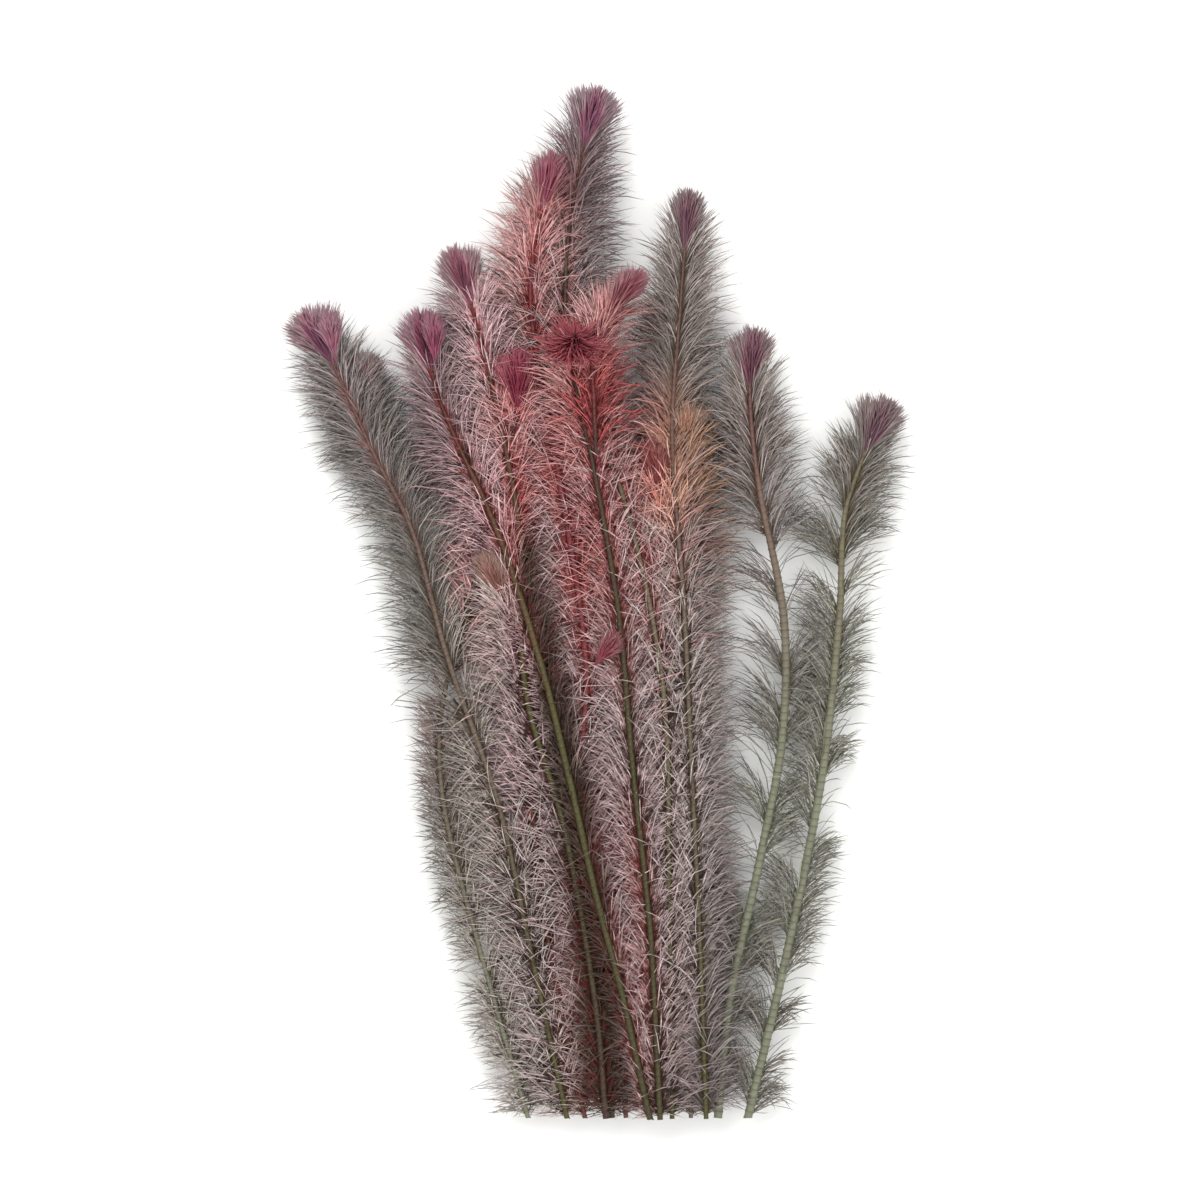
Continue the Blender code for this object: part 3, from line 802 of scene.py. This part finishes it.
# Roots and ribs end between two shares of a leaf's length, and a rib is broken by bright flecks.
root_ends, rib_ends, end_sharpness = (0.14, 0.36), (0.45, 0.85), 6.0
rib_dark, rib_red = (58, 36, 26), (96, 30, 28)
fleck_scale, fleck_level, fleck_sharpness = 520.0, 0.4, 9.0
blade_detail = 1.0


def leaf_light(blade):
    """Leaves differ in how light they are; outside the heart painted shade darkens those deep down."""
    place = blade.add("ShaderNodeTexCoord", {}, {}, "Object")
    height = blade.add("ShaderNodeSeparateXYZ", {}, {"Vector": place}, "Z")
    heart = blade.attribute("heart")
    # Painted shade: outside the heart, leaves are darker the nearer they lie to the board.
    depth = between(between(*painted_shade_lights, heart), 1, (height * (1 / painted_shade_height)).held())
    one_leaf = blade.attribute("chance") * between(*leaf_differences, heart)
    one_leaf = one_leaf + between(*least_lights, heart)
    mottle = (blade.noise(mottle_scale, blade_detail) - 0.5) * between(*mottles, heart) + 1
    shaded_foot = (1 - (blade.attribute("reach") * foot_light_rise + foot_light).held()) * heart
    # Leaves on the trunk are made darker.
    trunk_dark = blade.attribute("trunk") * trunk_darkening
    return one_leaf * mottle * depth * (1 - shaded_foot) * (1 - trunk_dark)


def leaf_finish(name, look):
    """Blades and their roots, then red, amber and old parts, light and shade, and dark ribs."""
    blade = Finish(name, Roughness=plant_roughness, Specular_IOR_Level=plant_specular)
    along, reach, chance = (blade.attribute(shade) for shade in ("along", "reach", "chance"))
    red_ribbed = blade.attribute("red_ribbed")
    root = ((between(*root_ends, chance) - reach) * end_sharpness).held()
    colour = blade.mix(root, blade.ramp(along, blade_places, look.blades),
                       blade.ramp(along, blade_places, look.roots))
    red = blade.attribute("red") * between(*red_strengths, reach)
    red = red + red_ribbed * between(*ribbed_strengths, reach).held()
    colour = blade.mix(red.held(), colour, paint(*blush))
    colour = blade.mix(blade.attribute("amber") * between(*amber_strengths, reach), colour, paint(*glow))
    colour = blade.mix(blade.attribute("trunk") * old_strength, colour, paint(*old_leaf))
    colour = blade.mix(1.0, colour, leaf_light(blade), "MULTIPLY")
    whole = ((blade.noise(fleck_scale, blade_detail) - fleck_level) * fleck_sharpness).held()
    rib = ((between(*rib_ends, chance) - reach) * end_sharpness).held()
    dark = blade.mix(red_ribbed, paint(*rib_dark), paint(*rib_red))
    return blade.done(Base_Color=blade.mix(blade.attribute("rib") * whole * rib, colour, dark))


for shoot in shoots:
    leaves = model_leaves(shoot)
    leaves.data.materials.append(leaf_finish("blades_" + shoot.name, foliage[shoot.name]))
    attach(leaves, "root")
    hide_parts("stem_" + shoot.name)


# The crowns: the growing tip of each shoot, where young leaves stand so close that their feet
# make a dense dark core, and their uneven tips end together in a blunt pale head.
crown_needles = 640
golden_angle = math.pi * (3 - math.sqrt(5))
needle_width = 1.1
needle_lights = (0.68, 1.18)
needle_roughness = 0.45

# Needles curl inwards up to straight_out of the way to the rim, and outwards beyond it. Their feet
# and tips are uneven, and no tip is deeper than deepest_tip of its foot's depth. The tips of a shut
# head fill crown_share of the half-width that its shoot's crown has.
needle_curl, straight_out = 18.0, 0.6
uneven_feet = (0.7, 1.1)
uneven_tips = 3.2 * mm
deepest_tip = 0.6
crown_share = 0.82

# In millimetres, a core's middle is core_middle below the tip, and it reaches core_reach from
# there up and down the stem. Its colours change at core_places, from its skin inwards.
core_middle, core_reach, core_unevenness = 6.0, 7.5, 0.16
core_places = (0.06, 0.34, 0.7)

# A head is shut, or open where it is seen from its end: how far below the tip its inner and outer
# leaves grow, in millimetres, how far its rim hangs and its middle stands up, how unevenly its
# leaves stand, and its height as a share of its width. Then come its core's half-width, in
# millimetres, and that as a share of the core's half-height.
Head = namedtuple("Head", "depth dome_drop rise scatter flatness core_side core_slimness")
shut_head = Head((2.0, 12.5), 2.4 * mm, 1.8 * mm, 0.09, 0.6, 2.8, 0.4)
open_head = Head((1.5, 9.0), 6.0 * mm, 0.0, 0.35, 1.0, 5.5, 1.0)
open_shoot, open_half_width = "middle", 6.4

# Each crown's slot, then its colours from the middle of its core, round the core and outside.
crown_looks = {
    "far_left": ("magenta_crown", (104, 58, 82), (148, 92, 112), (156, 128, 132)),
    "rear_left": ("rose_crown", (138, 48, 68), (150, 60, 80), (158, 82, 94)),
    "second_left": ("dark_red_crown", (84, 38, 54), (142, 72, 94), (156, 122, 130)),
    "third_left": ("magenta_crown", (100, 52, 68), (144, 84, 100), (154, 124, 128)),
    "top_left": ("rose_crown", (146, 74, 92), (154, 84, 100), (158, 110, 116)),
    "top": ("magenta_crown", (126, 72, 98), (148, 92, 112), (150, 126, 132)),
    "middle": ("dark_red_crown", (100, 46, 56), (138, 56, 66), (154, 74, 80)),
    "middle_side": ("dark_red_crown", (132, 68, 78), (144, 82, 90), (166, 120, 126)),
    "rear_red": ("rose_crown", (128, 60, 60), (138, 70, 70), (146, 88, 84)),
    "right_of_middle": ("magenta_crown", (104, 70, 82), (126, 90, 98), (144, 126, 126)),
    "rear_orange": ("rose_crown", (170, 122, 98), (168, 126, 106), (164, 134, 120)),
    "right": ("magenta_crown", (104, 62, 76), (130, 86, 98), (146, 124, 126)),
    "far_right": ("magenta_crown", (108, 78, 90), (130, 98, 106), (140, 124, 122)),
    "short_red": ("rose_crown", (140, 92, 80), (150, 108, 96), (156, 126, 116)),
    "far_left_side": ("rose_crown", (150, 104, 112), (150, 116, 120), (150, 130, 130)),
}
Crown = namedtuple("Crown", "name slot head size half_width route colours")
crowns = []
for shoot in shoots:
    slot, *colours = crown_looks[shoot.name]
    head, half_width = shut_head, foliage[shoot.name].head * crown_share
    if shoot.name == open_shoot:
        head, half_width = open_head, open_half_width
    crowns.append(Crown("crown_" + shoot.name, slot, head, shoot.crown_size, half_width,
                        shoot.route, colours))

# The buds are side shoots that are nothing but a small crown.
crowns += [
    Crown("bud_far_left", "rose_crown", shut_head, 0.8, 2.6,
          ((-52.6, 151, 10.6), (-53.4, 155.4, 11.8), (-54.2, 160.2, 12.2)),
          ((160, 98, 118), (160, 108, 124), (158, 120, 130))),
    Crown("bud_second_left", "rose_crown", shut_head, 0.8, 2.4,
          ((-32.8, 150.6, 11.2), (-33, 155, 12.4), (-33.2, 159.8, 12.6)),
          ((146, 72, 96), (148, 82, 102), (152, 104, 118))),
    Crown("bud_top_left", "crimson_crown", shut_head, 0.6, 2.6,
          ((-1.2, 90.6, 11.2), (0.8, 93, 11.8), (3.4, 96.4, 12)),
          ((134, 60, 72), (142, 72, 80), (150, 96, 100))),
]


def core_share(crown, route, places):
    """How far inside the crown's long core each place is: 1 at its middle and 0 at its skin."""
    along = route.length - core_middle * crown.size * mm
    left, upward = route.sides(along)
    from_tip = route.read(route.length) - places
    below = (from_tip @ route.heading(along) / mm / crown.size - core_middle) / core_reach
    aside = from_tip @ left / mm / crown.size / crown.head.core_side
    above = from_tip @ upward / mm / crown.size / crown.head.core_side * crown.head.core_slimness
    return np.clip(1 - np.sqrt(below**2 + aside**2 + above**2), 0, 1)


def model_crown(crown):
    """Needles whose tips fill a blunt head evenly: the further out a tip, the lower its foot."""
    route, head = Route(crown.route), crown.head
    numbers = np.arange(crown_needles)
    out = np.sqrt((numbers + 0.5) / crown_needles)
    turns = numbers * golden_angle
    near, far = head.depth
    foot_below = near + (far - near) * out * dice.uniform(*uneven_feet, crown_needles)
    foot_below = np.minimum(foot_below * crown.size * mm, route.length)
    tip_below = head.dome_drop * out**2 - head.rise
    tip_below = tip_below + dice.uniform(0, uneven_tips, crown_needles) * crown.size
    tip_below = np.minimum(tip_below, foot_below * deepest_tip)
    half_width = crown.half_width * mm
    aside = half_width * (out * np.cos(turns) + dice.normal(0, head.scatter, crown_needles))
    above = half_width * (out * np.sin(turns) + dice.normal(0, head.scatter, crown_needles))
    above = above * head.flatness
    away = np.hypot(aside, above)
    along = route.length - foot_below
    left, upward = route.sides(along)
    outward = (aside / away)[:, None] * left + (above / away)[:, None] * upward
    lean = np.degrees(np.arctan2(away, foot_below - tip_below))
    length = np.hypot(away, foot_below - tip_below)
    curl = needle_curl * (straight_out - out)
    places = bend_leaves(route.read(along), route.heading(along), outward, length,
                         np.radians(lean + curl), np.radians(lean - curl),
                         np.zeros(crown_needles), needle_width)
    needles = join_leaves("needles_" + crown.name, places, {})
    add_shade(needles, "core", core_share(crown, route, read_corners(needles)))
    return needles


def crown_finish(crown):
    """Three colours from the core outwards, with each young leaf a little lighter or darker."""
    blade = Finish("needles_" + crown.name, Roughness=needle_roughness,
                   Specular_IOR_Level=plant_specular)
    chance = blade.attribute("chance")
    core = blade.attribute("core") + (chance - 0.5) * core_unevenness
    colour = blade.ramp(core, core_places, crown.colours[::-1])
    light = between(*needle_lights, chance)
    return blade.done(Base_Color=blade.mix(1.0, colour, light, "MULTIPLY"))


for crown in crowns:
    needles = model_crown(crown)
    needles.data.materials.append(crown_finish(crown))
    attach(needles, "root")
    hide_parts(crown.name)
